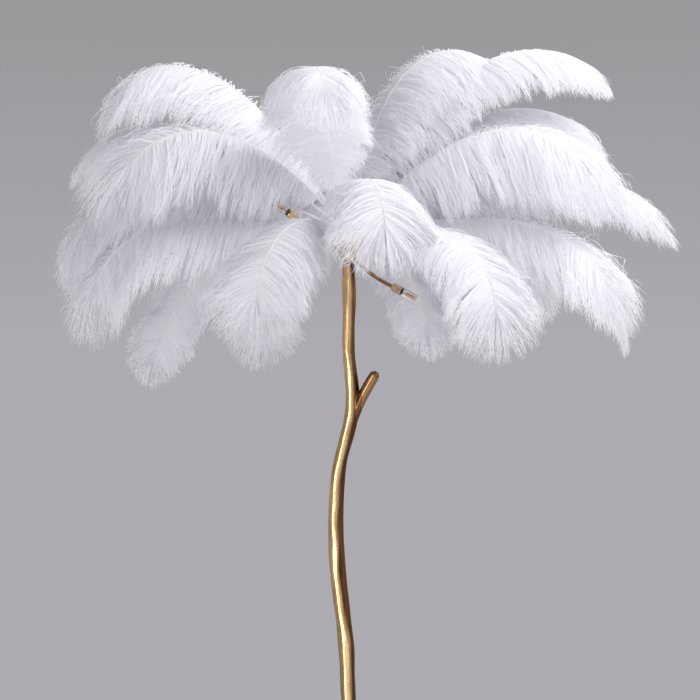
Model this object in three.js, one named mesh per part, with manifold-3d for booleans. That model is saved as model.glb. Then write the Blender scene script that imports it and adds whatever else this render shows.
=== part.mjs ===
// Floor lamp with a crown of ostrich feathers on a gilt branch stand.
// Millimetres, +Z up. The origin is the middle of the base's underside.
import * as THREE from 'three';
import { mergeVertices } from 'three/addons/utils/BufferGeometryUtils.js';
import Module from 'manifold-3d';

// Driving dimensions.
const baseRadius = 150;
const baseRim = 16;            // height of the rim before the rounded shoulder
const baseHeight = 26;
const fitGap = 0.4;            // between pieces that touch
const trunkFoot = baseHeight + fitGap;
const trunkTop = 1338;
const stubDiameter = 16;
const collarRadius = 6.5;
const collarHeight = 7;
const neckRadius = 8;
const armBossRadius = 13;
const armBossBottom = trunkTop + collarHeight + 2 * fitGap;
const armBossHeight = 11;
const hubRadius = 30;
const hubCentre = new THREE.Vector3(0, 0, 1388);
const quillRadius = 1.9;
const quillHoleRadius = 2.7;
const quillStart = 20;         // distance of the quill's end from the hub's centre
const bareQuill = 72;          // the quill is bare and straight as far as here
const vaneStart = 80;          // where the barbs begin, along the shaft
const ridgeHalf = 2;           // half thickness of a feather at its shaft
const vaneHalf = 0.7;          // half thickness at the barbs' tips
const clearance = 1;           // kept between two feathers
const armRadius = 3;
const armSteps = 6;
const socketRadius = 7;
const socketLength = 18;
const bulbRadius = 6.3;
const bulbLength = 32;
const glandRadius = 6;
const glandLength = 16;
const glandHeight = 11;

// Centreline of the branch: x, y, z and the thickness there.
const trunkRoute = [
  [0, 0, trunkFoot, 44], [0, 0, 36, 36], [-1, 1, 60, 30], [-4, 4, 120, 26], [-8, 7, 210, 25], [-6, 8, 300, 25],
  [2, 4, 400, 24], [8, -2, 490, 25], [6, -6, 570, 24], [0, -7, 650, 23], [-2, -6, 730, 25],
  [-10, -3, 790, 25], [-17, 2, 850, 26], [-20, 5, 920, 25], [-18, 6, 975, 24], [-13, 3, 1022, 22],
  [-3, 0, 1058, 22], [6, -2, 1092, 23], [8, -3, 1137, 21], [4, -2, 1168, 22], [0, 0, 1200, 21],
  [1, 1, 1240, 20], [2, 1, 1290, 22], [1, 0, 1322, 22], [1, 0, trunkTop, 21],
];
// The sawn-off side shoot, from inside the branch to its rounded end.
const stubRoute = [[7, -3, 1088], [17, -8, 1118], [30, -14, 1144], [41, -18, 1163]];

// Lamp arms: bearing and rise where the arm leaves the boss, how far both change by its end and how late,
// in degrees, and its length.
const lampArms = [
  { name: 'right', bearing: -22, rise: -52, turn: -8, drop: -29, late: 0.8, length: 88 },
  { name: 'left', bearing: -145, rise: 34, turn: 0, drop: 6, late: 1.2, length: 108 },
];

// Feathers: bearing (0 = +X, 90 = +Y) and rise at the hub in degrees, length, how far the shaft bends
// down by its tip, how late it bends, how far the bearing turns, how far the vane is rolled about the
// shaft, and the length of the barbs.
const feathers = [
  { name: 'top_left', bearing: 178, rise: 55, length: 505, bend: 121, late: 3.6, roll: -20, barb: 150 },
  { name: 'left_back', bearing: 162, rise: 38, length: 515, bend: 84, late: 3.0, roll: -12, barb: 130 },
  { name: 'left_middle', bearing: -158, rise: 47, length: 436, bend: 106, late: 2.1, roll: -24, barb: 178 },
  { name: 'left_outer', bearing: -178, rise: 25, length: 490, bend: 97, late: 2.4, roll: -25, barb: 140 },
  { name: 'left_low', bearing: -168, rise: 10, length: 455, bend: 88, late: 2.7, roll: -20, barb: 165 },
  { name: 'low_left_back', bearing: 156, rise: 5, length: 450, bend: 78, late: 1.2, roll: 40, barb: 80 },
  { name: 'front_left', bearing: -119, rise: 14, length: 352, bend: 100, late: 1.6, roll: -8, barb: 116 },
  { name: 'front_centre', bearing: -76, rise: 63, length: 298, bend: 138, late: 1.1, roll: 0, barb: 128 },
  { name: 'front_right', bearing: -48, rise: 6, length: 405, bend: 97, late: 2.2, roll: 8, barb: 124 },
  { name: 'low_right_back', bearing: 63, rise: 0, length: 368, bend: 68, late: 1.4, roll: 0, barb: 84 },
  { name: 'right_low', bearing: -16, rise: 7, length: 462, bend: 76, late: 2.8, roll: 20, barb: 145 },
  { name: 'right_low_back', bearing: 14, rise: 6, length: 520, bend: 80, late: 2.6, roll: 12, barb: 125 },
  { name: 'right_middle', bearing: 10, rise: 27, length: 528, bend: 66, late: 2.1, roll: 8, barb: 160 },
  { name: 'right_front', bearing: -14, rise: 45, length: 445, bend: 98, late: 2.2, roll: 25, barb: 178 },
  { name: 'right_upper_back', bearing: 22, rise: 47, length: 508, bend: 84, late: 2.4, roll: 12, barb: 124 },
  { name: 'top_right_outer', bearing: 10, rise: 61.5, length: 545, bend: 94, late: 2.4, roll: 16, barb: 122 },
  { name: 'top_right', bearing: 18, rise: 77, length: 435, bend: 116, late: 3.0, roll: 15, barb: 145 },
  { name: 'top_centre', bearing: -118, rise: 65, length: 430, bend: 138, late: 2.9, turn: 55, roll: 0, barb: 120 },
  { name: 'back_top', bearing: 98, rise: 66, length: 420, bend: 104, late: 2.2, roll: 0, barb: 125 },
  { name: 'back_right_high', bearing: 54, rise: 57, length: 480, bend: 96, late: 2.2, roll: 10, barb: 118 },
  { name: 'back_left_high', bearing: 142, rise: 48, length: 465, bend: 96, late: 2.0, roll: -10, barb: 118 },
  { name: 'back_right_mid', bearing: 66, rise: 34, length: 510, bend: 91, late: 2.0, roll: 5, barb: 128 },
  { name: 'back_right_outer', bearing: 40, rise: 20, length: 480, bend: 88, late: 1.8, roll: 5, barb: 118 },
  { name: 'back_left_outer', bearing: 124, rise: 30, length: 510, bend: 94, late: 1.8, roll: -5, barb: 128 },
  { name: 'back_low', bearing: 80, rise: 24, length: 420, bend: 70, late: 1.6, roll: 0, barb: 105 },
  { name: 'back_left_low', bearing: 120, rise: 5, length: 372, bend: 80, late: 1.3, roll: 0, barb: 100 },
];

const gilt = { color: 0xb98a45, roughness: 0.32, metalness: 1 };
const darkBrass = { color: 0x4a3218, roughness: 0.5, metalness: 1 };
const plumage = { color: 0xf4f3f7, roughness: 0.8, metalness: 0 };
const clearGlass = { color: 0xf6f2ea, roughness: 0.05, metalness: 0, transparent: true, opacity: 0.4 };
const blackRubber = { color: 0x1c1b1a, roughness: 0.7, metalness: 0 };

const wasm = await Module();
wasm.setup();
const lamp = new THREE.Group();
lamp.name = 'ostrich_feather_floor_lamp';
const up = new THREE.Vector3(0, 0, 1);
const radians = THREE.MathUtils.degToRad;

// Joining and cutting.
function toSolid(geometry) {
  const bare = geometry.clone();
  bare.deleteAttribute('normal');
  bare.deleteAttribute('uv');
  const merged = mergeVertices(bare, 1e-4);
  const mesh = new wasm.Mesh({
    numProp: 3,
    vertProperties: new Float32Array(merged.attributes.position.array),
    triVerts: new Uint32Array(merged.index.array),
  });
  return new wasm.Manifold(mesh);
}

function toGeometry(solid) {
  const mesh = solid.getMesh();
  const geometry = new THREE.BufferGeometry();
  geometry.setAttribute('position', new THREE.BufferAttribute(mesh.vertProperties, 3));
  geometry.setIndex(new THREE.BufferAttribute(mesh.triVerts, 1));
  geometry.computeVertexNormals();
  return geometry;
}

function addPiece(name, geometry, look) {
  const piece = new THREE.Mesh(geometry, new THREE.MeshStandardMaterial(look));
  piece.name = name;
  lamp.add(piece);
  return piece;
}

// Closed skin over a row of rings that have the same number of points. turned(i) says which strips have
// their quads split the other way, and lid is the last ring's triangles where a fan would fold.
function skin(rings, turned = () => false, lid = null) {
  const around = rings[0].length;
  const points = rings.flat();
  const faces = [];
  for (let row = 0; row < rings.length - 1; row++) {
    for (let i = 0; i < around; i++) {
      const a = row * around + i;
      const b = row * around + (i + 1) % around;
      if (turned(i)) faces.push(a, b, a + around, b, b + around, a + around);
      else faces.push(a, b, b + around, a, b + around, a + around);
    }
  }
  const fan = Array.from({ length: around - 2 }, (_, i) => [0, i + 1, i + 2]);
  for (const [a, b, c] of fan) faces.push(a, c, b);
  const last = (rings.length - 1) * around;
  for (const triangle of lid ?? fan) faces.push(...triangle.map((i) => last + i));
  const geometry = new THREE.BufferGeometry();
  geometry.setAttribute('position', new THREE.Float32BufferAttribute(points.flatMap((p) => p.toArray()), 3));
  geometry.setIndex(faces);
  return geometry;
}

// A ring of points around a centre, across the given direction.
function ring(centre, direction, sideways, radius, sides) {
  const across = sideways.clone();
  const over = new THREE.Vector3().crossVectors(direction, across).normalize();
  return Array.from({ length: sides }, (_, i) => {
    const angle = (2 * Math.PI * i) / sides;
    return centre.clone()
      .addScaledVector(across, radius * Math.cos(angle))
      .addScaledVector(over, radius * Math.sin(angle));
  });
}

// A round bar through a list of centres, with its own radius at each. One reference direction serves the
// whole bar, so its rings don't turn against each other.
function bar(centres, radii, sides) {
  const overall = centres.at(-1).clone().sub(centres[0]).normalize();
  const reference = Math.abs(overall.z) > 0.8 ? new THREE.Vector3(1, 0, 0) : up;
  const rings = centres.map((centre, i) => {
    const ahead = centres[Math.min(i + 1, centres.length - 1)];
    const behind = centres[Math.max(i - 1, 0)];
    const direction = ahead.clone().sub(behind).normalize();
    const sideways = new THREE.Vector3().crossVectors(reference, direction).normalize();
    return ring(centre, direction, sideways, radii[i], sides);
  });
  return skin(rings);
}

// Turns a lathe's Y axis onto a direction and moves its foot to a point.
function aim(geometry, foot, direction) {
  const turn = new THREE.Quaternion().setFromUnitVectors(new THREE.Vector3(0, 1, 0), direction);
  return geometry.clone().applyQuaternion(turn).translate(foot.x, foot.y, foot.z);
}

function lathe(profile, sides) {
  return new THREE.LatheGeometry(profile.map(([r, h]) => new THREE.Vector2(r, h)), sides);
}

function rod(radius, from, to, sides) {
  return lathe([[0, from], [radius, from], [radius, to], [0, to]], sides);
}

// Walks along a bent arm or shaft and gives its points, directions and sideways vectors.
function walk(start, shape, steps) {
  const stations = [];
  const point = start.clone();
  const stride = shape.length / steps;
  for (let i = 0; i <= steps; i++) {
    const t = Math.min((i + 0.5) / steps, 1);
    const bearing = radians(shape.bearing + (shape.turn ?? 0) * t * t);
    const rise = radians(shape.rise - shape.bend * t ** shape.late);
    const direction = new THREE.Vector3(
      Math.cos(rise) * Math.cos(bearing), Math.cos(rise) * Math.sin(bearing), Math.sin(rise));
    const sideways = new THREE.Vector3(-Math.sin(bearing), Math.cos(bearing), 0);
    stations.push({ point: point.clone(), direction, sideways });
    point.addScaledVector(direction, stride);
  }
  return stations;
}

// Base, gland and branch.
function makeBase() {
  const shoulder = Array.from({ length: 4 }, (_, i) => {
    const angle = (Math.PI / 2) * (i / 3);
    const drop = baseHeight - baseRim - 4;
    return [baseRadius - drop + drop * Math.cos(angle), baseRim + drop * Math.sin(angle)];
  });
  const profile = [[0, 0], [baseRadius - 2, 0], [baseRadius, 2], ...shoulder, [40, baseHeight], [0, baseHeight]];
  const disc = toSolid(aim(lathe(profile, 22), new THREE.Vector3(), up));
  const boreDepth = 8;
  const bore = rod(glandRadius + fitGap, 0, glandLength * 2, 10);
  const mouth = new THREE.Vector3(0, baseRadius - boreDepth, glandHeight);
  const drill = toSolid(aim(bore, mouth, new THREE.Vector3(0, 1, 0)));
  addPiece('base', toGeometry(disc.subtract(drill)), gilt);

  const gland = lathe([
    [0, 0], [glandRadius - 0.4, 0], [glandRadius - 0.4, 9], [glandRadius, 9],
    [glandRadius - 1, 12], [3.6, glandLength], [0, glandLength],
  ], 10);
  const seat = new THREE.Vector3(0, baseRadius - boreDepth + fitGap, glandHeight);
  addPiece('cord_gland', aim(gland, seat, new THREE.Vector3(0, 1, 0)), blackRubber);
}

function makeBranch() {
  const sides = 10;
  const centres = trunkRoute.map(([x, y, z]) => new THREE.Vector3(x, y, z));
  const thickness = trunkRoute.map((row) => row[3] / 2);
  const trunk = bar(centres, thickness, sides);
  const stubCentres = stubRoute.map(([x, y, z]) => new THREE.Vector3(x, y, z));
  const along = stubCentres.at(-1).clone().sub(stubCentres.at(-2)).normalize();
  stubCentres.push(stubCentres.at(-1).clone().addScaledVector(along, stubDiameter / 4));
  const stubRadii = [5, 0.5 * stubDiameter, 0.49 * stubDiameter, 0.5 * stubDiameter, 0.3 * stubDiameter];
  const stub = bar(stubCentres, stubRadii, 8);
  addPiece('branch', toGeometry(toSolid(trunk).add(toSolid(stub))), gilt);
}

// Collar, hub and lamps.
function makeCollar() {
  const low = trunkTop + fitGap;
  const top = low + collarHeight;
  const profile = [[0, low], [collarRadius, low], [collarRadius + 0.5, low + 2], [collarRadius, top], [0, top]];
  addPiece('collar', aim(lathe(profile, 12), new THREE.Vector3(), up), darkBrass);
}

function makeHub() {
  const foot = armBossBottom;
  const ballLow = hubCentre.z - Math.sqrt(hubRadius ** 2 - neckRadius ** 2);
  const bands = 6;
  const from = Math.asin(neckRadius / hubRadius);
  const ball = Array.from({ length: bands }, (_, i) => {
    const angle = from + (Math.PI - from) * (i / bands);
    return [hubRadius * Math.sin(angle), hubCentre.z - hubRadius * Math.cos(angle)];
  });
  const profile = [
    [0, foot], [armBossRadius - 1, foot], [armBossRadius, foot + 1], [armBossRadius, foot + armBossHeight - 1],
    [armBossRadius - 1, foot + armBossHeight], [neckRadius, foot + armBossHeight], [neckRadius, ballLow - 1],
    ...ball.slice(1), [0, hubCentre.z + hubRadius],
  ];
  let solid = toSolid(aim(lathe(profile, 14), new THREE.Vector3(), up));
  for (const shape of feathers) {
    const stations = walk(hubCentre, shape, steps);
    const [tip, root] = [quillStart, bareQuill].map((d) => shaftAt(stations, shape, d).point);
    const hole = rod(quillHoleRadius, -fitGap, hubRadius, 5);
    solid = solid.subtract(toSolid(aim(hole, tip, root.sub(tip).normalize())));
  }
  for (const arm of lampArms) {
    const start = armStart(arm);
    const [first] = walk(start, armShape(arm), armSteps);
    const hole = rod(armRadius + fitGap + 0.1, -fitGap, 20, 8);
    solid = solid.subtract(toSolid(aim(hole, start, first.direction)));
  }
  addPiece('hub', toGeometry(solid), gilt);
}

function armShape(arm) {
  return { bearing: arm.bearing, rise: arm.rise, length: arm.length, bend: arm.drop, late: arm.late, turn: arm.turn };
}

function armStart(arm) {
  const bearing = radians(arm.bearing);
  const inset = armBossRadius - 6;
  const height = armBossBottom + armBossHeight / 2;
  return new THREE.Vector3(inset * Math.cos(bearing), inset * Math.sin(bearing), height);
}

function armLine(arm) {
  const points = walk(armStart(arm), armShape(arm), armSteps).map((station) => station.point);
  const direction = points.at(-1).clone().sub(points.at(-2)).normalize();
  const seat = points.at(-1).clone().addScaledVector(direction, fitGap);
  return { points, direction, seat };
}

function makeLamp(arm) {
  const { points, direction, seat } = armLine(arm);
  addPiece(`lamp_arm_${arm.name}`, bar(points, points.map(() => armRadius), 6), gilt);

  const wall = 1.4;
  const plate = 3;
  const socket = lathe([
    [0, 0], [socketRadius - 1.5, 0], [socketRadius, 2], [socketRadius, socketLength],
    [socketRadius - wall, socketLength], [socketRadius - wall, plate + 4], [0, plate + 4],
  ], 10);
  addPiece(`lamp_socket_${arm.name}`, aim(socket, seat, direction), gilt);

  const pinRadius = socketRadius - wall - fitGap;
  const low = plate + 4 + fitGap;
  const mouth = socketLength + 2;
  const bulb = lathe([
    [0, low], [pinRadius, low], [pinRadius, mouth], [bulbRadius, mouth + 2],
    [bulbRadius, mouth + bulbLength - 5], [bulbRadius * 0.6, mouth + bulbLength - 0.5],
    [0, mouth + bulbLength],
  ], 10);
  addPiece(`lamp_bulb_${arm.name}`, aim(bulb, seat, direction), clearGlass);
}

// The room around a lamp that the feathers leave free.
function lampRoom(arm) {
  const { points, direction, seat } = armLine(arm);
  const around = toSolid(bar(points, points.map(() => armRadius + clearance), 6));
  const head = rod(socketRadius + clearance, -clearance, socketLength + bulbLength + 4, 12);
  return around.add(toSolid(aim(head, seat, direction)));
}

// Feathers.
const steps = 60;
const sag = 0.76;
const swing = 36;                // how far a barb curves towards the feather's tip, degrees
const barbLift = -0.1;

function between(value, knots, levels) {
  for (let i = 1; i < knots.length; i++) {
    if (value <= knots[i]) {
      const part = Math.max(value - knots[i - 1], 0) / (knots[i] - knots[i - 1]);
      return THREE.MathUtils.lerp(levels[i - 1], levels[i], part);
    }
  }
  return levels.at(-1);
}

// The place on the shaft at a distance from the hub's centre.
function shaftAt(stations, shape, distance) {
  const place = THREE.MathUtils.clamp((distance / shape.length) * steps, 0, steps - 1e-6);
  const i = Math.floor(place);
  const here = stations[i];
  const point = here.point.clone().lerp(stations[i + 1].point, place - i);
  const sideways = here.sideways.clone().applyAxisAngle(here.direction, radians(shape.roll));
  const over = new THREE.Vector3().crossVectors(here.direction, sideways);
  return { point, direction: here.direction, sideways, over };
}

// How long the barbs are, and their angle to the shaft in degrees, along the vane from 0 to 1.
function barbLength(shape, along) {
  const widening = Math.min(1, 0.25 + along / 0.36);
  const rounding = 1 - 0.3 * THREE.MathUtils.clamp((along - 0.75) / 0.25, 0, 1) ** 2;
  return shape.barb * widening * rounding;
}

function barbAngle(along) {
  return between(along, [0, 0.12, 0.5, 0.8, 0.9, 0.96, 1], [92, 82, 76, 72, 58, 40, 24]);
}

// A barb leaves the shaft sideways, curves towards the feather's tip and droops under its own weight.
function barbPoints(shape, shaft, along, side) {
  const start = barbAngle(along);
  const curve = swing * (1 - 0.6 * THREE.MathUtils.clamp((along - 0.7) / 0.3, 0, 1));
  const length = barbLength(shape, along);
  const pieces = 6;
  const limp = sag * (1 - 0.75 * Math.max(-shaft.direction.z, 0) ** 1.3);   // less where the shaft hangs
  const point = shaft.point.clone();
  const points = [];
  for (let k = 0; k < pieces; k++) {
    const part = (k + 0.5) / pieces;
    const angle = radians(Math.max(start - curve * part ** 1.2, 12));
    const weight = limp * part ** 0.85;
    const heading = shaft.direction.clone().multiplyScalar(Math.cos(angle))
      .addScaledVector(shaft.sideways, side * Math.sin(angle))
      .addScaledVector(shaft.over, barbLift)
      .normalize()
      .multiplyScalar(1 - weight);
    heading.z -= weight;
    heading.normalize();
    point.addScaledVector(heading, length / pieces);
    const face = new THREE.Vector3().crossVectors(shaft.direction, heading).multiplyScalar(side).normalize();
    points.push({ point: point.clone(), face });
  }
  return [points[2], points[5]];
}

// Eight points around a feather: over the shaft to one barb tip, back below it and on to the other tip.
// The last ring closes the rounded end ahead of the shaft.
function vaneRing(shape, stations, along, grow) {
  const distance = vaneStart + (shape.length - vaneStart) * along;
  const shaft = shaftAt(stations, shape, distance);
  const reach = 1.5 * grow;   // the edge is sharp, so a wider copy also has to reach further out
  const [leftMiddle, leftTip] = barbPoints(shape, shaft, along, 1);
  const [rightMiddle, rightTip] = barbPoints(shape, shaft, along, -1);
  const ridge = ridgeHalf * (1 - 0.5 * along) + grow;
  const half = vaneHalf + grow;
  const shifted = (place, amount) => place.point.clone().addScaledVector(place.face, amount);
  const ended = (middle, tip) => tip.point.clone()
    .addScaledVector(tip.point.clone().sub(middle.point).normalize(), reach);
  const centre = { point: shaft.point.clone(), face: shaft.over };
  if (along === 1) {
    centre.point.lerp(leftTip.point.clone().lerp(rightTip.point, 0.5), 0.95);
    leftMiddle.point.copy(leftTip.point).lerp(centre.point, 0.5);
    rightMiddle.point.copy(rightTip.point).lerp(centre.point, 0.5);
  }
  return [
    shifted(centre, ridge), shifted(rightMiddle, half), ended(rightMiddle, rightTip),
    shifted(rightMiddle, -half), shifted(centre, -ridge), shifted(leftMiddle, -half),
    ended(leftMiddle, leftTip), shifted(leftMiddle, half),
  ];
}

// The bare quill's ring, with its points in the same order as a vane's.
function quillRing(shape, stations, distance, grow) {
  const shaft = shaftAt(stations, shape, distance);
  const radius = quillRadius + grow;
  return Array.from({ length: 8 }, (_, i) => shaft.point.clone()
    .addScaledVector(shaft.over, radius * Math.cos((Math.PI / 4) * i))
    .addScaledVector(shaft.sideways, -radius * Math.sin((Math.PI / 4) * i)));
}

// A vane's end: the top points are joined to the ones below them. Its two sides split their quads alike,
// so that the thin sheet's top and underside never cross.
const vaneLid = [[1, 2, 3], [0, 1, 3], [0, 3, 4], [0, 4, 5], [0, 5, 7], [5, 6, 7]];

function featherSolid(shape, grow) {
  const stations = walk(hubCentre, shape, steps);
  const rings = [quillStart - grow, bareQuill].map((d) => quillRing(shape, stations, d, grow));
  for (const along of [0, 0.13, 0.3, 0.53, 0.76, 0.91, 1]) {
    rings.push(vaneRing(shape, stations, along, grow));
  }
  return toSolid(skin(rings, (i) => i % 4 > 1, vaneLid));
}

// The shaft alone, as a thin bar that other feathers keep clear of.
function shaftSolid(shape, radius) {
  const stations = walk(hubCentre, shape, steps);
  const marks = Array.from({ length: 9 }, (_, i) => quillStart + (shape.length - quillStart) * (i / 8));
  const centres = marks.map((mark) => shaftAt(stations, shape, mark).point);
  return toSolid(bar(centres, centres.map(() => radius), 6));
}

// Whether the boxes around two solids meet.
function meet(one, other) {
  const a = one.boundingBox();
  const b = other.boundingBox();
  return [0, 1, 2].every((k) => a.min[k] < b.max[k] && b.min[k] < a.max[k]);
}

function makeFeathers() {
  const core = ridgeHalf + 0.6;
  const items = feathers.map((shape) => ({
    shape,
    body: featherSolid(shape, 0),
    wide: featherSolid(shape, clearance),
    shaft: shaftSolid(shape, core),
    wideShaft: shaftSolid(shape, core + clearance),
  }));
  const rooms = lampArms.map(lampRoom);
  const finished = [];
  items.forEach((item, i) => {
    let solid = item.body;
    rooms.forEach((room) => {
      solid = solid.subtract(room);
    });
    items.forEach((other, j) => {
      if (j === i || !meet(item.wide, other.wide)) return;
      solid = solid.subtract(other.wideShaft);
      if (j < i) solid = solid.subtract(other.wide.subtract(item.shaft));
    });
    finished.filter((other) => meet(solid, other)).forEach((other) => {
      const shared = solid.intersect(other);
      if (shared.volume() > 1e-3) solid = solid.subtract(other);
    });
    const whole = solid.decompose().sort((a, b) => b.volume() - a.volume())[0];
    finished.push(whole);
    addPiece(`feather_${item.shape.name}`, toGeometry(whole), plumage);
  });
}

makeBase();
makeBranch();
makeCollar();
makeHub();
lampArms.forEach(makeLamp);
makeFeathers();

export default lamp;
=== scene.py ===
# A floor lamp: a crown of white ostrich feathers and small clear lamps on a gilt branch stand.
import bpy
import math
import numpy as np
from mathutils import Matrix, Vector


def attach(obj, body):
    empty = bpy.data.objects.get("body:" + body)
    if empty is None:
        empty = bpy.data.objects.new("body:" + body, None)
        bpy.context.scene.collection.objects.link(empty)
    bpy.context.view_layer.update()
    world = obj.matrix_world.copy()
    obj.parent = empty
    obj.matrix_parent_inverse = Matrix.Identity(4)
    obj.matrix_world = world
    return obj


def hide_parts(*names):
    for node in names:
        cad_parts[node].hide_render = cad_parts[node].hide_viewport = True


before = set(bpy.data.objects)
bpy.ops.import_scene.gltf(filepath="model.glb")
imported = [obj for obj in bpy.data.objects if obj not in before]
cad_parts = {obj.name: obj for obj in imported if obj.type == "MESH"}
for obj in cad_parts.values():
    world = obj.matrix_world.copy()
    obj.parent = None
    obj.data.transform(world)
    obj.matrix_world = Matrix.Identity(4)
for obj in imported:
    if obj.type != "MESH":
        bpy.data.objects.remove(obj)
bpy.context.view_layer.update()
print("frame loaded,", len(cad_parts), "nodes")

view = dict(place=(0.0032, -3.2, 1.2), sensor=36.0, focalPixels=2000, imagePixels=700)
bpy.ops.object.camera_add(location=view["place"], rotation=(math.pi / 2, 0, 0))
camera = bpy.context.object
camera.data.sensor_width = view["sensor"]
camera.data.lens = view["sensor"] * view["focalPixels"] / view["imagePixels"]
bpy.context.scene.camera = camera


# small helpers
def onlySelect(obj):
    bpy.ops.object.select_all(action="DESELECT")
    obj.select_set(True)
    bpy.context.view_layer.objects.active = obj


def applyModifier(obj, kind, **settings):
    onlySelect(obj)
    modifier = obj.modifiers.new(kind.lower(), kind)
    for key, value in settings.items():
        setattr(modifier, key, value)
    bpy.ops.object.modifier_apply(modifier=modifier.name)


def settle(obj):  # place and turn go into the mesh
    onlySelect(obj)
    bpy.ops.object.transform_apply(location=True, rotation=True, scale=True)


def smooth(obj, degrees=35):
    onlySelect(obj)
    bpy.ops.object.shade_smooth_by_angle(angle=math.radians(degrees))


def finishPiece(obj, name, slot, node, *looks):
    obj.name = name
    obj.data.name = name
    obj.data.materials.clear()
    for look in looks:
        obj.data.materials.append(look)
    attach(obj, "root")
    if node:
        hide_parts(node)


def turnPiece(profile, sides):  # a turned piece, drawn out ring by ring from its first end
    radius, height = profile[0]
    bpy.ops.object.select_all(action="DESELECT")
    bpy.ops.mesh.primitive_circle_add(vertices=sides, radius=radius, fill_type="NGON", location=(0, 0, 0))
    obj = bpy.context.object
    bpy.ops.object.mode_set(mode="EDIT")
    bpy.ops.mesh.select_all(action="SELECT")
    bpy.ops.transform.translate(value=(0, 0, height))
    for nextRadius, nextHeight in profile[1:]:
        bpy.ops.mesh.extrude_region_move(TRANSFORM_OT_translate={"value": (0, 0, nextHeight - height)})
        bpy.ops.transform.resize(value=(nextRadius / radius, nextRadius / radius, 1))
        radius, height = nextRadius, nextHeight
    bpy.ops.mesh.select_all(action="SELECT")
    bpy.ops.mesh.normals_make_consistent(inside=False)
    bpy.ops.object.mode_set(mode="OBJECT")
    return obj


def aimPiece(obj, foot, direction):  # stands a turned piece on a point, along a direction
    obj.rotation_euler = Vector(direction).to_track_quat("Z", "Y").to_euler()
    obj.location = foot
    settle(obj)


def tubePiece(points, radii, sides):  # a bent bar with its own radius at each point
    bpy.ops.object.select_all(action="DESELECT")
    bpy.ops.curve.primitive_nurbs_path_add(location=(0, 0, 0))
    obj = bpy.context.object
    curve = obj.data
    spline = curve.splines[0]
    spline.points.add(len(points) - len(spline.points))
    for point, place, radius in zip(spline.points, points, radii):
        point.co = (*place, 1)
        point.radius = radius
    spline.order_u = 3
    spline.use_endpoint_u = True
    curve.resolution_u = 8
    curve.bevel_depth = 1.0
    curve.bevel_resolution = sides // 4
    curve.use_fill_caps = True
    bpy.ops.object.convert(target="MESH")
    return bpy.context.object


def meshFromArrays(name, points, faces, faceLooks):
    mesh = bpy.data.meshes.new(name)
    mesh.vertices.add(len(points))
    mesh.vertices.foreach_set("co", points.astype(np.float32).ravel())
    mesh.loops.add(faces.size)
    mesh.loops.foreach_set("vertex_index", faces.astype(np.int32).ravel())
    mesh.polygons.add(len(faces))
    mesh.polygons.foreach_set("loop_start", np.arange(len(faces), dtype=np.int32) * 4)
    mesh.polygons.foreach_set("material_index", faceLooks.astype(np.int32))
    mesh.update(calc_edges=True)
    mesh.shade_smooth()
    obj = bpy.data.objects.new(name, mesh)
    bpy.context.collection.objects.link(obj)
    return obj


def pointValues(obj, name, values):
    layer = obj.data.attributes.new(name, "FLOAT", "POINT")
    layer.data.foreach_set("value", values.astype(np.float32))


# finishes
def newGroup(name, inputs, outputs):
    tree = bpy.data.node_groups.new(name, "ShaderNodeTree")
    for label, kind, value in inputs:
        socket = tree.interface.new_socket(label, in_out="INPUT", socket_type=kind)
        socket.default_value = value
    for label, kind in outputs:
        tree.interface.new_socket(label, in_out="OUTPUT", socket_type=kind)
    return tree, tree.nodes.new("NodeGroupInput"), tree.nodes.new("NodeGroupOutput")


def addNode(tree, kind, links=(), **settings):
    node = tree.nodes.new(kind)
    for key, value in settings.items():
        setattr(node, key, value)
    for socket, source in links:
        if hasattr(source, "node"):
            tree.links.new(source, node.inputs[socket])
        else:
            node.inputs[socket].default_value = source
    return node


def mixColors(tree, factor, first, second, blend="MIX"):
    node = tree.nodes.new("ShaderNodeMix")
    node.data_type = "RGBA"
    node.blend_type = blend
    for socket, source in ((0, factor), (6, first), (7, second)):
        if hasattr(source, "node"):
            tree.links.new(source, node.inputs[socket])
        else:
            node.inputs[socket].default_value = source
    return node.outputs[2]


def newLook(name):
    look = bpy.data.materials.new(name)
    look.use_nodes = True
    tree = look.node_tree
    return look, tree, tree.nodes["Principled BSDF"], tree.nodes["Material Output"]


colorKind, floatKind, vectorKind = "NodeSocketColor", "NodeSocketFloat", "NodeSocketVector"


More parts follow.
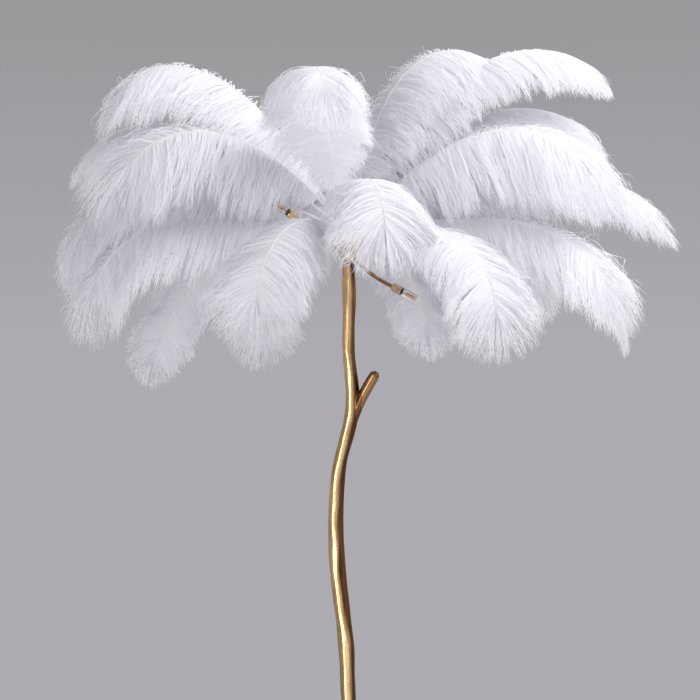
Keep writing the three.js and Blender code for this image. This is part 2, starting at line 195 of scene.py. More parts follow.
def makeGiltGroup():  # cast and gilded metal: brown by its grain and by a mask, pale elsewhere; on the trunk the mask holds patina in the hollows and painted shade, and the pale is a painted highlight
    tree, given, out = newGroup(
        "giltCasting",
        [("Bright", colorKind, (0.8, 0.58, 0.3, 1)), ("Brown", colorKind, (0.2, 0.1, 0.04, 1)),
         ("PatinaShade", floatKind, 0.0), ("Rough", floatKind, 0.25), ("Grain", floatKind, 60.0),
         ("Stretch", vectorKind, (1, 1, 1))],
        [("Color", colorKind), ("Roughness", floatKind), ("Height", floatKind)])
    place = addNode(tree, "ShaderNodeTexCoord")
    scaled = addNode(tree, "ShaderNodeMapping", [
        (0, place.outputs["Object"]), (3, given.outputs["Stretch"])])
    grain = addNode(tree, "ShaderNodeTexNoise", [
        ("Vector", scaled.outputs[0]), ("Scale", given.outputs["Grain"]), ("Detail", 5.0),
        ("Roughness", 0.6)])
    cloud = addNode(tree, "ShaderNodeTexNoise", [
        ("Vector", place.outputs["Object"]), ("Scale", 9.0), ("Detail", 3.0)])
    spread = addNode(tree, "ShaderNodeMapRange", [
        (0, grain.outputs[0]), (1, 0.35), (2, 0.72), (3, 0.0), (4, 0.55)])
    brown = addNode(tree, "ShaderNodeMath", [(0, spread.outputs[0]), (1, given.outputs["PatinaShade"])],
                    operation="MAXIMUM")
    tone = mixColors(tree, brown.outputs[0], given.outputs["Bright"], given.outputs["Brown"])
    warm = mixColors(tree, cloud.outputs[0], (0.9, 0.86, 0.8, 1), (1.0, 1.0, 1.0, 1))
    color = mixColors(tree, 1.0, tone, warm, "MULTIPLY")
    rough = addNode(tree, "ShaderNodeMath", [
        (0, cloud.outputs[0]), (1, 0.22), (2, given.outputs["Rough"])], operation="MULTIPLY_ADD")
    tree.links.new(color, out.inputs["Color"])
    tree.links.new(rough.outputs[0], out.inputs["Roughness"])
    tree.links.new(grain.outputs[0], out.inputs["Height"])
    return tree


giltGroup = makeGiltGroup()


def makeGilt(name, bright, brown, rough, grain, bump, stretch=(1, 1, 1), patinaShaded=False):
    look, tree, shader, _ = newLook(name)
    cast = addNode(tree, "ShaderNodeGroup", node_tree=giltGroup)
    for label, value in (("Bright", bright), ("Brown", brown), ("Rough", rough), ("Grain", grain),
                         ("Stretch", stretch)):
        cast.inputs[label].default_value = value
    if patinaShaded:
        patinaShade = addNode(tree, "ShaderNodeAttribute", attribute_name="patinaShade")
        tree.links.new(patinaShade.outputs["Fac"], cast.inputs["PatinaShade"])
    relief = addNode(tree, "ShaderNodeBump", [
        ("Height", cast.outputs["Height"]), ("Strength", bump), ("Distance", 0.002)])
    tree.links.new(cast.outputs["Color"], shader.inputs["Base Color"])
    tree.links.new(cast.outputs["Roughness"], shader.inputs["Roughness"])
    tree.links.new(relief.outputs[0], shader.inputs["Normal"])
    shader.inputs["Metallic"].default_value = 1.0
    return look


# name, bright and brown colours, roughness, grain and bump
# the trunk's pale colour doubles as a painted highlight, and its brown as patina and painted shade
giltBark = makeGilt("giltBark", (0.98, 0.67, 0.35, 1), (0.12, 0.045, 0.014, 1), 0.10, 90.0, 0.14,
                    stretch=(1, 1, 0.16), patinaShaded=True)
giltBase = makeGilt("giltBase", (0.80, 0.58, 0.31, 1), (0.30, 0.17, 0.07, 1), 0.22, 40.0, 0.12)
polishedBrass = makeGilt("polishedBrass", (0.95, 0.78, 0.52, 1), (0.40, 0.24, 0.10, 1), 0.07, 70.0, 0.05)
darkBrass = makeGilt("darkBrass", (0.16, 0.085, 0.04, 1), (0.05, 0.025, 0.012, 1), 0.30, 80.0, 0.15)
# painted shade: the lamp arms' brass is made dark for the shade they hang in among the feathers
shadeDarkBrass = makeGilt("shadeDarkBrass", (0.42, 0.25, 0.12, 1), (0.10, 0.05, 0.02, 1), 0.22, 120.0, 0.1)
copper = makeGilt("copperWire", (0.95, 0.50, 0.26, 1), (0.45, 0.16, 0.06, 1), 0.12, 300.0, 0.05)


def makeBarbLook():  # soft white barbs that light shines through
    look, tree, shader, out = newLook("whiteBarb")
    place = addNode(tree, "ShaderNodeTexCoord")
    cloud = addNode(tree, "ShaderNodeTexNoise", [
        ("Vector", place.outputs["Object"]), ("Scale", 7.0), ("Detail", 3.0)])
    along = addNode(tree, "ShaderNodeAttribute", attribute_name="along")
    tone = addNode(tree, "ShaderNodeAttribute", attribute_name="tone")
    white = mixColors(tree, cloud.outputs[0], (0.955, 0.949, 0.98, 1), (0.982, 0.978, 0.992, 1))
    root = addNode(tree, "ShaderNodeMapRange", [
        (0, along.outputs["Fac"]), (1, 0.0), (2, 0.12), (3, 0.25), (4, 0.0)])
    warmed = mixColors(tree, root.outputs[0], white, (0.97, 0.95, 0.91, 1))
    shade = addNode(tree, "ShaderNodeMapRange", [(0, tone.outputs["Fac"]), (3, 0.96), (4, 1.0)])
    color = mixColors(tree, 1.0, warmed, shade.outputs[0], "MULTIPLY")
    tree.links.new(color, shader.inputs["Base Color"])
    shader.inputs["Roughness"].default_value = 0.6
    shader.inputs["Specular IOR Level"].default_value = 0.25
    glow = addNode(tree, "ShaderNodeBsdfTranslucent", [("Color", color)])
    both = addNode(tree, "ShaderNodeMixShader", [(0, 0.6), (1, shader.outputs[0]), (2, glow.outputs[0])])
    tree.links.new(both.outputs[0], out.inputs["Surface"])
    return look


def makeShaftLook():
    look, tree, shader, _ = newLook("ivoryShaft")
    place = addNode(tree, "ShaderNodeTexCoord")
    grain = addNode(tree, "ShaderNodeTexNoise", [
        ("Vector", place.outputs["Object"]), ("Scale", 60.0), ("Detail", 4.0)])
    color = mixColors(tree, grain.outputs[0], (0.86, 0.81, 0.70, 1), (0.95, 0.93, 0.88, 1))
    tree.links.new(color, shader.inputs["Base Color"])
    relief = addNode(tree, "ShaderNodeBump", [
        ("Height", grain.outputs[0]), ("Strength", 0.1), ("Distance", 0.001)])
    tree.links.new(relief.outputs[0], shader.inputs["Normal"])
    shader.inputs["Roughness"].default_value = 0.42
    return look


def makeGlassLook():
    look, tree, shader, _ = newLook("clearGlass")
    place = addNode(tree, "ShaderNodeTexCoord")
    ripple = addNode(tree, "ShaderNodeTexNoise", [
        ("Vector", place.outputs["Object"]), ("Scale", 120.0), ("Detail", 2.0)])
    relief = addNode(tree, "ShaderNodeBump", [
        ("Height", ripple.outputs[0]), ("Strength", 0.12), ("Distance", 0.001)])
    tree.links.new(relief.outputs[0], shader.inputs["Normal"])
    shader.inputs["Base Color"].default_value = (0.98, 0.97, 0.95, 1)
    shader.inputs["Roughness"].default_value = 0.02
    shader.inputs["Transmission Weight"].default_value = 1.0
    shader.inputs["IOR"].default_value = 1.47
    return look


def makeDullLook(name, dark, light, rough, grain, bump):  # rubber and the floor
    look, tree, shader, _ = newLook(name)
    place = addNode(tree, "ShaderNodeTexCoord")
    mottle = addNode(tree, "ShaderNodeTexNoise", [
        ("Vector", place.outputs["Object"]), ("Scale", grain), ("Detail", 4.0)])
    color = mixColors(tree, mottle.outputs[0], dark, light)
    relief = addNode(tree, "ShaderNodeBump", [
        ("Height", mottle.outputs[0]), ("Strength", bump), ("Distance", 0.001)])
    tree.links.new(color, shader.inputs["Base Color"])
    tree.links.new(relief.outputs[0], shader.inputs["Normal"])
    shader.inputs["Roughness"].default_value = rough
    return look


whiteBarb = makeBarbLook()
ivoryShaft = makeShaftLook()
clearGlass = makeGlassLook()
blackRubber = makeDullLook("blackRubber", (0.02, 0.02, 0.02, 1), (0.05, 0.05, 0.05, 1), 0.6, 90.0, 0.2)
paleFloor = makeDullLook("paleFloor", (0.60, 0.60, 0.61, 1), (0.64, 0.64, 0.65, 1), 0.7, 6.0, 0.05)
print("finishes ready")


# feathers
plume = dict(
    hub=(0, 0, 1.388), steps=60, quillStart=0.020, vaneStart=0.080,
    shaftRoot=0.0019, shaftTip=0.0004, barbsPerSide=1050, barbSteps=8,
    # half a barb's width, its shares along the barb, and how far from the shaft's middle it starts
    barbHalf=0.0008, widthAt=[0, 0.12, 0.55, 0.85, 1], widths=[0.7, 1.0, 0.85, 0.5, 0.12], barbOut=0.0012,
    # the barbs' angle to the shaft in degrees, at places along the vane from 0 to 1
    angleAt=[0, 0.12, 0.5, 0.8, 0.9, 0.96, 1], angles=[94, 86, 79, 74, 59, 36, 3],
    # how far a barb sags, turns towards the tip in degrees, starts above the vane, and waves at its end
    droop=0.76, swing=42, lift=-0.10, curl=0.55,
    # how uneven the barbs are, how much shorter at the feather's tip, and where they turn more even
    uneven=0.45, tipShort=0.42, evenFrom=0.55, evenSpan=0.35,
    # how many clumps the barbs on a side cling together in, and how closely
    clumps=88, gather=0.85,
    # knots and amount of a slow drift along the vane, and how much a barb differs from the next
    angleVary=(14, 2.5, 0.8), swingVary=(10, 5, 3), liftVary=(12, 0.03, 0.02), limpVary=(12, 0.04, 0.025),
    # how much a clump differs from the next, and how much barbs and clumps wave
    clumpAngle=0.9, clumpLimp=0.02, clumpLength=0.06, waveVary=0.7,
    # stray barbs: their share, how proud they stand, how long they are and how much more they wave
    strays=0.07, proud=0.20, strayLength=0.8, strayWave=1.7,
)
down = np.array([0.0, 0.0, -1.0])
# bearing and rise at the hub in degrees, length in mm, bend by the tip, how late it bends, how far
# the bearing turns, how far the vane is rolled about its shaft, and the barbs' length in mm
rowNames = ("name", "bearing", "rise", "length", "bend", "late", "turn", "roll", "barb")
plumeRows = [
    ("top_left", 178, 55, 505, 121, 3.6, 0, -20, 150),
    ("left_back", 162, 38, 515, 84, 3.0, 0, -12, 130),
    ("left_middle", -158, 47, 436, 106, 2.1, 0, -24, 178),
    ("left_outer", -178, 25, 490, 97, 2.4, 0, -25, 140),
    ("left_low", -168, 10, 455, 88, 2.7, 0, -20, 165),
    ("low_left_back", 156, 5, 450, 78, 1.2, 0, 40, 80),
    ("front_left", -119, 14, 352, 100, 1.6, 0, -8, 116),
    ("front_centre", -76, 63, 298, 138, 1.1, 0, 0, 128),
    ("front_right", -48, 6, 405, 97, 2.2, 0, 8, 124),
    ("low_right_back", 63, 0, 368, 68, 1.4, 0, 0, 84),
    ("right_low", -16, 7, 462, 76, 2.8, 0, 20, 145),
    ("right_low_back", 14, 6, 520, 80, 2.6, 0, 12, 125),
    ("right_middle", 10, 27, 528, 66, 2.1, 0, 8, 160),
    ("right_front", -14, 45, 445, 98, 2.2, 0, 25, 178),
    ("right_upper_back", 22, 47, 508, 84, 2.4, 0, 12, 124),
    ("top_right_outer", 10, 61.5, 545, 94, 2.4, 0, 16, 122),
    ("top_right", 18, 77, 435, 116, 3.0, 0, 15, 145),
    ("top_centre", -118, 65, 430, 138, 2.9, 55, 0, 120),
    ("back_top", 98, 66, 420, 104, 2.2, 0, 0, 125),
    ("back_right_high", 54, 57, 480, 96, 2.2, 0, 10, 118),
    ("back_left_high", 142, 48, 465, 96, 2.0, 0, -10, 118),
    ("back_right_mid", 66, 34, 510, 91, 2.0, 0, 5, 128),
    ("back_right_outer", 40, 20, 480, 88, 1.8, 0, 5, 118),
    ("back_left_outer", 124, 30, 510, 94, 1.8, 0, -5, 128),
    ("back_low", 80, 24, 420, 70, 1.6, 0, 0, 105),
    ("back_left_low", 120, 5, 372, 80, 1.3, 0, 0, 100),
]


def unit(vectors):
    return vectors / np.maximum(np.linalg.norm(vectors, axis=-1, keepdims=True), 1e-9)


def shaftPath(row):  # points, directions and sideways vectors along a shaft
    steps = plume["steps"]
    t = (np.arange(steps) + 0.5) / steps
    heading = np.radians(row["bearing"] + row["turn"] * t ** 2)
    climb = np.radians(row["rise"] - row["bend"] * t ** row["late"])
    ahead = np.stack([np.cos(climb) * np.cos(heading), np.cos(climb) * np.sin(heading), np.sin(climb)], -1)
    level = np.stack([-np.sin(heading), np.cos(heading), 0 * heading], -1)
    roll = math.radians(row["roll"])
    sideways = level * math.cos(roll) + np.cross(ahead, level) * math.sin(roll)
    stride = row["length"] / 1000 / steps
    points = np.array(plume["hub"]) + np.vstack([np.zeros(3), np.cumsum(ahead * stride, 0)])
    return points, ahead, sideways


def wander(rng, along, knots, amount):  # a value that drifts slowly from barb to barb
    return np.interp(along, np.linspace(0, 1, knots), rng.normal(0, amount, knots))


def fade(values, start, span):  # 0 before the start, 1 after the span
    return np.clip((values - start) / span, 0, 1)


def vary(values, rng, u, kind):  # drift along the vane, and differences from barb to barb
    knots, drift, each = plume[kind]
    return values + wander(rng, u, knots, drift) + rng.normal(0, each, len(u))


# below, u runs along the vane and w along a barb, both from 0 to 1, and own is what a clump's barbs share
def barbShapes(row, u, forth, own, stray, rng):  # each barb's length, angle, swing, lift and limpness
    nearTip = fade(u, plume["evenFrom"], plume["evenSpan"])
    length = row["barb"] / 1000 * np.minimum(1, 0.25 + u / 0.36)   # short at the root of the vane
    length = length * (1 - plume["tipShort"] * fade(u, 0.75, 0.25) ** 2)
    uneven = (plume["uneven"] - 0.2 * nearTip) * rng.random(len(u)) ** 1.3
    length = length * (1.06 - uneven + plume["clumpLength"] * (1 - 0.7 * nearTip) * own[:, 3])
    length = length * np.where(stray, plume["strayLength"], 1)
    angle = np.interp(u, plume["angleAt"], plume["angles"])
    angle = vary(angle, rng, u, "angleVary") + plume["clumpAngle"] * own[:, 2]
    swing = vary(plume["swing"] * (1 - 0.5 * fade(u, 0.7, 0.3)), rng, u, "swingVary")
    lift = vary(plume["lift"], rng, u, "liftVary") + np.where(stray, plume["proud"], 0)
    limp = plume["droop"] * (1 - 0.75 * np.clip(-forth[:, 2], 0, 1) ** 1.3)   # less where the shaft hangs
    limp = vary(limp, rng, u, "limpVary") + plume["clumpLimp"] * own[:, 1]
    return length, angle, swing, lift, np.clip(limp, 0.1, 0.95)


def barbLines(row, path, side, rng):  # each barb's points and headings, its clump and how it clings there
    points, ahead, sideways = path
    count, segments = plume["barbsPerSide"], plume["barbSteps"]
    steps, clumps = plume["steps"], plume["clumps"]
    start = plume["vaneStart"] / (row["length"] / 1000)
    u = ((np.arange(count) + rng.random(count)) / count) ** 0.85   # closer together towards the tip
    place = np.minimum((start + (1 - start) * u) * steps, steps - 1e-6)
    step = place.astype(int)
    part = (place - step)[:, None]
    forth = ahead[step]
    out = sideways[step] * side
    over = np.cross(ahead[step], sideways[step])
    root = points[step] * (1 - part) + points[step + 1] * part + out * plume["barbOut"]

    clump = np.searchsorted(np.sort(rng.random(clumps)), u)
    own = rng.normal(0, 1, (clumps + 1, 4))[clump]
    stray = rng.random(count) < plume["strays"]
    length, angle, swing, lift, limp = barbShapes(row, u, forth, own, stray, rng)
    wave = rng.normal(0, plume["waveVary"], (count, 3)) + plume["waveVary"] * own[:, :3]
    wave = wave * np.where(stray, plume["strayWave"], 1.0)[:, None]
    phase = rng.random(count) * 2 * math.pi
    rate = rng.uniform(0.8, 2.2, count) * 2 * math.pi

    line = [root]
    headings = []
    for k in range(segments):
        w = (k + 0.5) / segments
        turned = np.radians(np.maximum(angle - swing * w ** 1.2, 3))[:, None]
        first = unit(forth * np.cos(turned) + out * np.sin(turned) + over * lift[:, None])
        sag = (limp * w ** 0.85)[:, None]
        waver = wave * (plume["curl"] * w ** 2.4 * np.sin(rate * w + phase))[:, None]
        heading = unit(first * (1 - sag) + down * sag + waver)
        headings.append(heading)
        line.append(line[-1] + heading * (length / segments)[:, None])
    nearTip = fade(u, plume["evenFrom"], plume["evenSpan"])
    hold = np.where(stray, 0, rng.uniform(0.5, 1, count)) * (1 - 0.7 * nearTip)
    return np.stack(line, 1), np.stack(headings + [headings[-1]], 1), forth, out, clump, hold


def closeClumps(line, clump, hold):  # a clump's barbs close up towards their ends
    clumps, places = plume["clumps"] + 1, line.shape[1]
    middle = np.zeros((clumps, places, 3))
    members = np.zeros(clumps)
    np.add.at(middle, clump, line)
    np.add.at(members, clump, 1)
    middle = middle / np.maximum(members, 1)[:, None, None]
    pull = (plume["gather"] * np.linspace(0, 1, places) ** 3)[None, :, None] * hold[:, None, None]
    return line * (1 - pull) + middle[clump] * pull


def barbSide(row, path, side, rng):  # the barbs on one side, as flat ribbons
    line, headings, forth, out, clump, hold = barbLines(row, path, side, rng)
    line = closeClumps(line, clump, hold)
    count, segments = plume["barbsPerSide"], plume["barbSteps"]
    w = np.linspace(0, 1, segments + 1)

    def across(vectors):
        return vectors - (vectors * headings).sum(-1, keepdims=True) * headings
    facing = across(forth[:, None]) + 0.35 * across(out[:, None]) + rng.normal(0, 0.18, (count, 1, 3))
    flat = unit(facing) * side
    half = np.interp(w, plume["widthAt"], plume["widths"]) * plume["barbHalf"]
    edge = flat * half[None, :, None]
    ribbon = np.stack([line - edge, line + edge], 2).reshape(-1, 3)
    corner = np.arange(count)[:, None] * (segments + 1) * 2 + np.arange(segments)[None] * 2
    faces = np.stack([corner, corner + 1, corner + 3, corner + 2], -1).reshape(-1, 4)
    along = np.tile(np.repeat(w, 2), count)
    tone = np.repeat(rng.random(count), (segments + 1) * 2)
    return ribbon, faces, along, tone


def shaftTube(row, path):  # the quill and shaft, eight-sided, closed at both ends
    points, ahead, sideways = path
    sides = 8   # what the caps below are for
    first = int(plume["quillStart"] / (row["length"] / 1000) * plume["steps"])
    points = points[first:]
    forth = np.vstack([ahead, ahead[-1:]])[first:]
    out = np.vstack([sideways, sideways[-1:]])[first:]
    over = np.cross(forth, out)
    t = np.linspace(0, 1, len(points))
    radius = np.interp(t, [0, 0.3, 1], [plume["shaftRoot"], plume["shaftRoot"] * 0.75, plume["shaftTip"]])
    angle = np.arange(sides) * 2 * math.pi / sides
    ring = out[:, None] * np.cos(angle)[None, :, None] + over[:, None] * np.sin(angle)[None, :, None]
    tube = (points[:, None] + radius[:, None, None] * ring).reshape(-1, 3)
    low = np.arange(len(points) - 1)[:, None] * sides
    here = np.arange(sides)[None]
    beside = (here + 1) % sides
    walls = np.stack([low + here, low + sides + here, low + sides + beside, low + beside], -1)
    cap = np.array([[0, 1, 2, 3], [0, 3, 4, 7], [4, 5, 6, 7]])
    end = cap[:, ::-1] + (len(points) - 1) * sides
    return tube, np.vstack([walls.reshape(-1, 4), cap, end])


def makePlume(row, seed):
    rng = np.random.default_rng(seed)
    path = shaftPath(row)
    left, right = [barbSide(row, path, side, rng) for side in (-1, 1)]
    tube, tubeFaces = shaftTube(row, path)
    points = np.vstack([left[0], right[0], tube])
    faces = np.vstack([left[1], right[1] + len(left[0]), tubeFaces + len(left[0]) + len(right[0])])
    looks = np.repeat([0, 1], [len(left[1]) + len(right[1]), len(tubeFaces)])
    obj = meshFromArrays("plume", points, faces, looks)
    pointValues(obj, "along", np.concatenate([left[2], right[2], np.zeros(len(tube))]))
    pointValues(obj, "tone", np.concatenate([left[3], right[3], np.ones(len(tube))]))
    name = row["name"]
    finishPiece(obj, "plume_" + name, "white_feather", "feather_" + name, whiteBarb, ivoryShaft)


for seed, row in enumerate(plumeRows, 1):
    makePlume(dict(zip(rowNames, row)), seed)
print("feathers made:", len(plumeRows))


# branch
branch = dict(
    route=[  # x, y, z and thickness, mm
        (0, 0, 26.4, 44), (0, 0, 36, 36), (-1, 1, 60, 30), (-4, 4, 120, 26), (-8, 7, 210, 25),
        (-6, 8, 300, 25), (2, 4, 400, 24), (8, -2, 490, 25), (6, -6, 570, 24), (0, -7, 650, 23),
        (-2, -6, 730, 25), (-10, -3, 790, 25), (-17, 2, 850, 26), (-20, 5, 920, 25), (-18, 6, 975, 24),
        (-13, 3, 1022, 22), (-3, 0, 1058, 22), (6, -2, 1092, 23), (8, -3, 1137, 21), (4, -2, 1168, 22),
        (0, 0, 1200, 21), (1, 1, 1240, 20), (2, 1, 1290, 22), (1, 0, 1322, 22), (1, 0, 1338, 21)],
    shoot=[(7, -2, 1080, 11), (18, -8, 1116, 16.5), (31, -13.5, 1141, 17.5), (38, -17, 1153, 17.5),
           (41, -18.4, 1158, 17.5), (43.4, -19.5, 1162, 16.5), (45, -20.2, 1164.6, 13),
           (45.8, -20.5, 1166, 7)],
    sides=24, voxel=0.0016, groove=0.0007, knots=0.0009, plump=0.0006,
    # the bark fades in above the foot and out below the top, and the shoot's painted shade starts this far
    # off the middle
    foot=0.03, footFade=0.02, top=1.338, topFade=0.008, shootShadeFrom=0.0145,
)


def makeBranch():
    trunk, shoot = [
        tubePiece([(x / 1000, y / 1000, z / 1000) for x, y, z, _ in branch[key]],
                  [thick / 2000 for _, _, _, thick in branch[key]], branch["sides"])
        for key in ("route", "shoot")]
    bpy.ops.object.select_all(action="DESELECT")
    shoot.select_set(True)
    trunk.select_set(True)
    bpy.context.view_layer.objects.active = trunk
    bpy.ops.object.join()
    applyModifier(trunk, "REMESH", mode="VOXEL", voxel_size=branch["voxel"], use_smooth_shade=True)
    applyModifier(trunk, "SMOOTH", factor=0.5, iterations=6)

    mesh = trunk.data
    count = len(mesh.vertices)
    places = np.empty(count * 3)
    normals = np.empty(count * 3)
    mesh.vertices.foreach_get("co", places)
    mesh.vertices.foreach_get("normal", normals)
    places = places.reshape(-1, 3)
    normals = normals.reshape(-1, 3)
    route = np.array(branch["route"]) / 1000
    x, y, z = places.T
    middleX = np.interp(z, route[:, 2], route[:, 0])
    middleY = np.interp(z, route[:, 2], route[:, 1])
    angle = np.arctan2(y - middleY, x - middleX)
    # flutes that wind slowly round the trunk, with low knots between them
    turn = angle + 0.52 + 0.16 * np.sin(z * 9) + 0.10 * np.sin(z * 23 + 1)
    flute = -0.6 * np.cos(2 * turn) + 0.26 * np.sin(3 * turn + 4 * z + 2) + 0.10 * np.sin(7 * turn - 7 * z)
    knot = np.sin(z * 61 + 2 * np.cos(angle)) * np.sin(z * 23) * np.cos(angle + 5 * z)
    keep = fade(z, branch["foot"], branch["footFade"])
    keep = keep * np.clip((branch["top"] - z) / branch["topFade"], 0, 1)
    offset = (branch["groove"] * flute + branch["knots"] * knot) * keep + branch["plump"]
    mesh.vertices.foreach_set("co", (places + normals * offset[:, None]).ravel())
    mesh.update()
    # patina and painted shade: brown where the flutes sink, with the flutes turned so the trunk's right
    # side and left edge come out dark and its front-left lobe pale, a painted highlight
    patinaShade = np.clip(0.44 - 1.3 * flute - 0.2 * knot, 0, 1) ** 1.2 * 0.95
    # painted shade: the side shoot is darkened all over, for a shoot that catches no highlight
    patinaShade = np.where(x > middleX + branch["shootShadeFrom"], 0.4 + 0.4 * patinaShade, patinaShade)
    pointValues(trunk, "patinaShade", patinaShade)
    finishPiece(trunk, "branch_stand", "gilt_bark", "branch", giltBark)


makeBranch()
print("branch made")


# base and its gland
base = dict(  # a disc with a round shoulder and a low dome that ends flat round the branch's foot
    radius=0.150, edge=0.002, rim=0.016, height=0.026, dome=0.004, flat=0.04, foot=0.022, sides=112,
    shoulder=8)
gland = dict(  # the flange and its bevel are placed along the gland's length
    radius=0.006, body=0.0056, nose=0.0036, bore=0.0024, boreDepth=0.004, length=0.016,
    flange=0.009, flangeEnd=0.0105, bevelEnd=0.012, bevel=0.001, height=0.011, inset=0.0076, sides=40)


def makeBase():
    radius, height, edge = base["radius"], base["height"], base["edge"]
    drop = height - base["rim"] - base["dome"]
    arc = [math.radians(90 * k / base["shoulder"]) for k in range(base["shoulder"] + 1)]
    shoulder = [(radius - drop + drop * math.cos(a), base["rim"] + drop * math.sin(a)) for a in arc]
    obj = turnPiece([
        (radius - edge, 0), (radius, edge), *shoulder, (base["flat"], height), (base["foot"], height)],
        base["sides"])
    smooth(obj)
    finishPiece(obj, "base_disc", "gilt_base", "base", giltBase)


def makeGland():
    radius, length, bore = gland["radius"], gland["length"], gland["bore"]
    obj = turnPiece([
        (gland["body"], 0), (gland["body"], gland["flange"]), (radius, gland["flange"]),
        (radius, gland["flangeEnd"]), (radius - gland["bevel"], gland["bevelEnd"]),
        (gland["nose"], length), (bore, length), (bore, length - gland["boreDepth"])], gland["sides"])
    aimPiece(obj, (0, base["radius"] - gland["inset"], gland["height"]), (0, 1, 0))
    smooth(obj)
    finishPiece(obj, "rubber_gland", "black_rubber", "cord_gland", blackRubber)


makeBase()
makeGland()
print("base and gland made")


# collar, hub and lamps
collar = dict(
    low=1.3384, radius=0.0065, height=0.007, edge=0.0006, bead=0.0005, beadLow=0.002, beadHigh=0.003)
hub = dict(
    centre=1.388, radius=0.030, neck=0.008, bossLow=1.3458, bossRadius=0.013, bossHeight=0.011,
    edge=0.001, filletWidth=0.001, filletHeight=0.0008, tip=0.0006, sides=72, bands=18)


def makeCollar():
    low, high = collar["low"], collar["low"] + collar["height"]
    radius, edge = collar["radius"], collar["edge"]
    wide = radius + collar["bead"]
    obj = turnPiece([
        (radius - edge, low), (radius, low + edge), (wide, low + collar["beadLow"]),
        (wide, low + collar["beadHigh"]), (radius, high - edge), (radius - edge, high)], hub["sides"])
    smooth(obj)
    finishPiece(obj, "collar_ring", "dark_brass", "collar", darkBrass)


def makeHub():
    foot, top, radius = hub["bossLow"], hub["bossLow"] + hub["bossHeight"], hub["bossRadius"]
    edge, neck = hub["edge"], hub["neck"]
    start = math.asin(neck / hub["radius"])
    arc = [start + (math.pi - start) * k / hub["bands"] for k in range(1, hub["bands"])]
    ball = [(hub["radius"] * math.sin(a), hub["centre"] - hub["radius"] * math.cos(a)) for a in arc]
    obj = turnPiece([
        (radius - edge, foot), (radius, foot + edge), (radius, top - edge), (radius - edge, top),
        (neck + hub["filletWidth"], top), (neck, top + hub["filletHeight"]), (neck, ball[0][1] - edge),
        *ball, (hub["tip"], hub["centre"] + hub["radius"])], hub["sides"])
    smooth(obj)
    finishPiece(obj, "hub_ball", "polished_brass", "hub", polishedBrass)


makeCollar()
makeHub()
lamp = dict(
    arms=[  # name, bearing, rise, how far it drops and turns by its end, how late it bends, length in mm
        ("right", -22, -52, -29, -8, 0.8, 88), ("left", -145, 34, 6, 0, 1.2, 108)],
    armRadius=0.003, armSteps=6, armSides=16, inset=0.007, height=1.3513, gap=0.0004,
    socketRadius=0.007, socketLength=0.018, wall=0.0014, floor=0.007, floorHole=0.001, sides=48,
    # the socket's foot, drawn in from its radius, and the bead round its mouth, down from the mouth
    footCurve=[(0.0015, 0), (0.0008, 0.0004), (0, 0.002)],
    mouthBead=[(0, 0.003), (0.0004, 0.0026), (0.0004, 0.0005), (0, 0)],
    bulbRadius=0.0063, bulbLength=0.032, bulbNeck=0.002, bulbShoulder=0.002, glassWall=0.0007,
    domeFrom=0.005, domeHeight=0.0045, domeAngles=[15, 35, 55, 72, 84],
)
filament = dict(  # two stiff wires joined by a coiled one
    radius=0.0028, turns=6, steps=60, low=0.007, length=0.018,
    wire=0.0005, coilWire=0.00055, nearLeg=0.0012, farLeg=-0.0008, nearTop=0.005, farTop=0.026, foot=0.001,
    sides=8)


def armLine(bearing, rise, drop, turn, late, length):
    steps = lamp["armSteps"]
    start = math.radians(bearing)
    point = Vector((lamp["inset"] * math.cos(start), lamp["inset"] * math.sin(start), lamp["height"]))
    points = [point.copy()]
    for k in range(steps):
        t = (k + 0.5) / steps
        heading = math.radians(bearing + turn * t * t)
        climb = math.radians(rise - drop * t ** late)
        level = math.cos(climb)
        ahead = Vector((level * math.cos(heading), level * math.sin(heading), math.sin(climb)))
        point += ahead * (length / 1000 / steps)
        points.append(point.copy())
    return points, ahead


def makeSocket(name, seat, ahead):
    radius, length = lamp["socketRadius"], lamp["socketLength"]
    inner = radius - lamp["wall"]
    outside = [(radius - drawn, height) for drawn, height in lamp["footCurve"]]
    outside += [(radius + proud, length - depth) for proud, depth in lamp["mouthBead"]]
    obj = turnPiece([
        *outside, (inner, length), (inner, lamp["floor"]), (lamp["floorHole"], lamp["floor"])],
        lamp["sides"])
    aimPiece(obj, seat, ahead)
    smooth(obj)
    finishPiece(obj, "socket_" + name, "polished_brass", "lamp_socket_" + name, polishedBrass)


def makeBulb(name, seat, ahead, low, mouth):
    pin, wide = lamp["socketRadius"] - lamp["wall"] - lamp["gap"], lamp["bulbRadius"]
    top = mouth + lamp["bulbLength"]
    shoulder = top - lamp["domeFrom"]
    dome = [(wide * math.cos(a), shoulder + lamp["domeHeight"] * math.sin(a))
            for a in np.radians(lamp["domeAngles"])]
    obj = turnPiece([
        (pin, low), (pin, mouth), (wide, mouth + lamp["bulbShoulder"]), (wide, shoulder), *dome],
        lamp["sides"])
    aimPiece(obj, seat, ahead)
    applyModifier(obj, "SOLIDIFY", thickness=lamp["glassWall"], offset=-1)
    smooth(obj, 50)
    finishPiece(obj, "bulb_" + name, "clear_glass", "lamp_bulb_" + name, clearGlass)


def makeFilament(name, seat, ahead, low, mouth):
    coil = []
    for k in range(filament["steps"] + 1):
        t = k / filament["steps"]
        spin = t * 2 * math.pi * filament["turns"]
        coil.append((filament["radius"] * math.cos(spin), filament["radius"] * math.sin(spin),
                     mouth + filament["low"] + filament["length"] * t))
    near, far, foot = filament["nearLeg"], filament["farLeg"], low + filament["foot"]
    wires = [(near, 0, foot), (near, 0, mouth + filament["nearTop"]), *coil,
             (far, 0, mouth + filament["farTop"]), (far, 0, foot)]
    leg = [filament["wire"]] * 2
    obj = tubePiece(wires, leg + [filament["coilWire"]] * len(coil) + leg, filament["sides"])
    aimPiece(obj, seat, ahead)
    smooth(obj)
    finishPiece(obj, "filament_" + name, "polished_brass", None, copper)


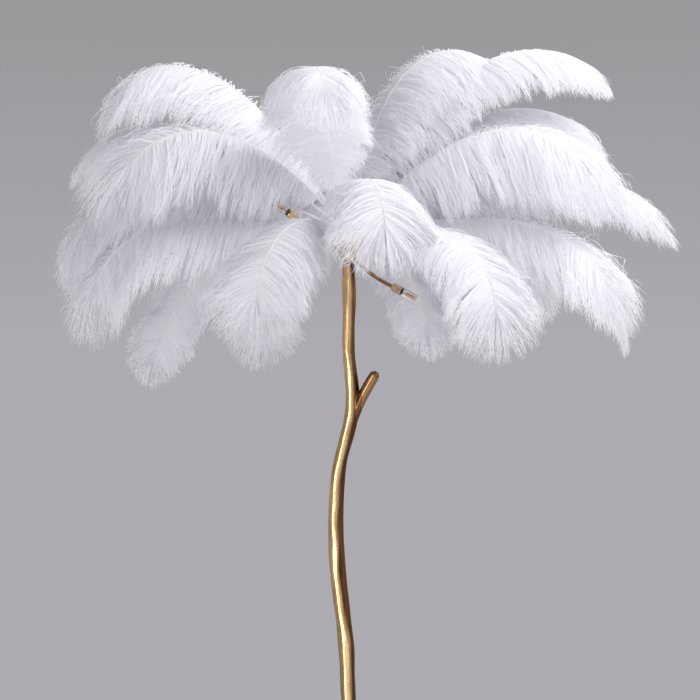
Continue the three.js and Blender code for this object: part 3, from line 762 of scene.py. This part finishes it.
def makeLamp(name, *shape):
    points, ahead = armLine(*shape)
    arm = tubePiece(points, [lamp["armRadius"]] * len(points), lamp["armSides"])
    smooth(arm)
    finishPiece(arm, "arm_" + name, "polished_brass", "lamp_arm_" + name, shadeDarkBrass)

    seat = points[-1] + ahead * lamp["gap"]
    low, mouth = lamp["floor"] + lamp["gap"], lamp["socketLength"] + lamp["bulbNeck"]
    makeSocket(name, seat, ahead)
    makeBulb(name, seat, ahead, low, mouth)
    makeFilament(name, seat, ahead, low, mouth)


for arm in lamp["arms"]:
    makeLamp(*arm)
print("hub and lamps made")


# floor, lights and room
def makeLight(name, place, target, size, power, color=(1, 1, 1), tall=None):
    light = bpy.data.lights.new(name, "AREA")
    light.energy = power
    light.color = color
    light.size = size
    if tall:
        light.shape = "RECTANGLE"
        light.size_y = tall
    obj = bpy.data.objects.new(name, light)
    bpy.context.collection.objects.link(obj)
    obj.location = place
    obj.rotation_euler = (Vector(target) - Vector(place)).to_track_quat("-Z", "Y").to_euler()


crown = (0, 0, 1.4)
makeLight("keyLight", (1.6, -1.6, 3.0), crown, 1.8, 42)
makeLight("frontLight", (0.6, -3.3, 1.2), crown, 2.0, 3)
makeLight("backLight", (0.4, 2.4, 1.7), crown, 2.0, 12)
makeLight("lowLight", (0, -0.9, 0.12), crown, 1.8, 5, (0.95, 0.95, 1.0))
makeLight("topLight", (1.1, -0.1, 3.2), crown, 1.8, 40)
makeLight("rightLight", (2.7, -0.5, 1.6), crown, 1.8, 4)
makeLight("streakLight", (-1.5, -2.1, 1.0), (0, 0, 1.0), 0.8, 20, tall=1.9)
makeLight("stripLight", (-0.7, -3.0, 1.2), (0, 0, 1.2), 0.3, 8, tall=1.6)

bpy.ops.object.select_all(action="DESELECT")
bpy.ops.mesh.primitive_circle_add(vertices=96, radius=3.4, fill_type="NGON", location=(0, 0, 0))
floor = bpy.context.object
floor.name = "floor"
floor.data.materials.append(paleFloor)
settle(floor)


def makeRoomLight():  # an even grey room, a little darker above eye height
    world = bpy.data.worlds.new("greyRoom")
    bpy.context.scene.world = world
    world.use_nodes = True
    tree = world.node_tree
    place = addNode(tree, "ShaderNodeTexCoord")
    axes = addNode(tree, "ShaderNodeSeparateXYZ", [(0, place.outputs["Generated"])])
    ramp = addNode(tree, "ShaderNodeValToRGB")
    tree.links.new(axes.outputs[2], ramp.inputs[0])
    stops = ramp.color_ramp.elements
    stops[0].position, stops[0].color = 0.0, (0.42, 0.41, 0.445, 1)
    stops[1].position, stops[1].color = 0.16, (0.32, 0.315, 0.33, 1)
    tree.links.new(ramp.outputs[0], tree.nodes["Background"].inputs[0])


makeRoomLight()
scene = bpy.context.scene
scene.view_settings.view_transform = "Standard"
scene.cycles.diffuse_bounces = 10
scene.cycles.max_bounces = 12
print("stage ready")
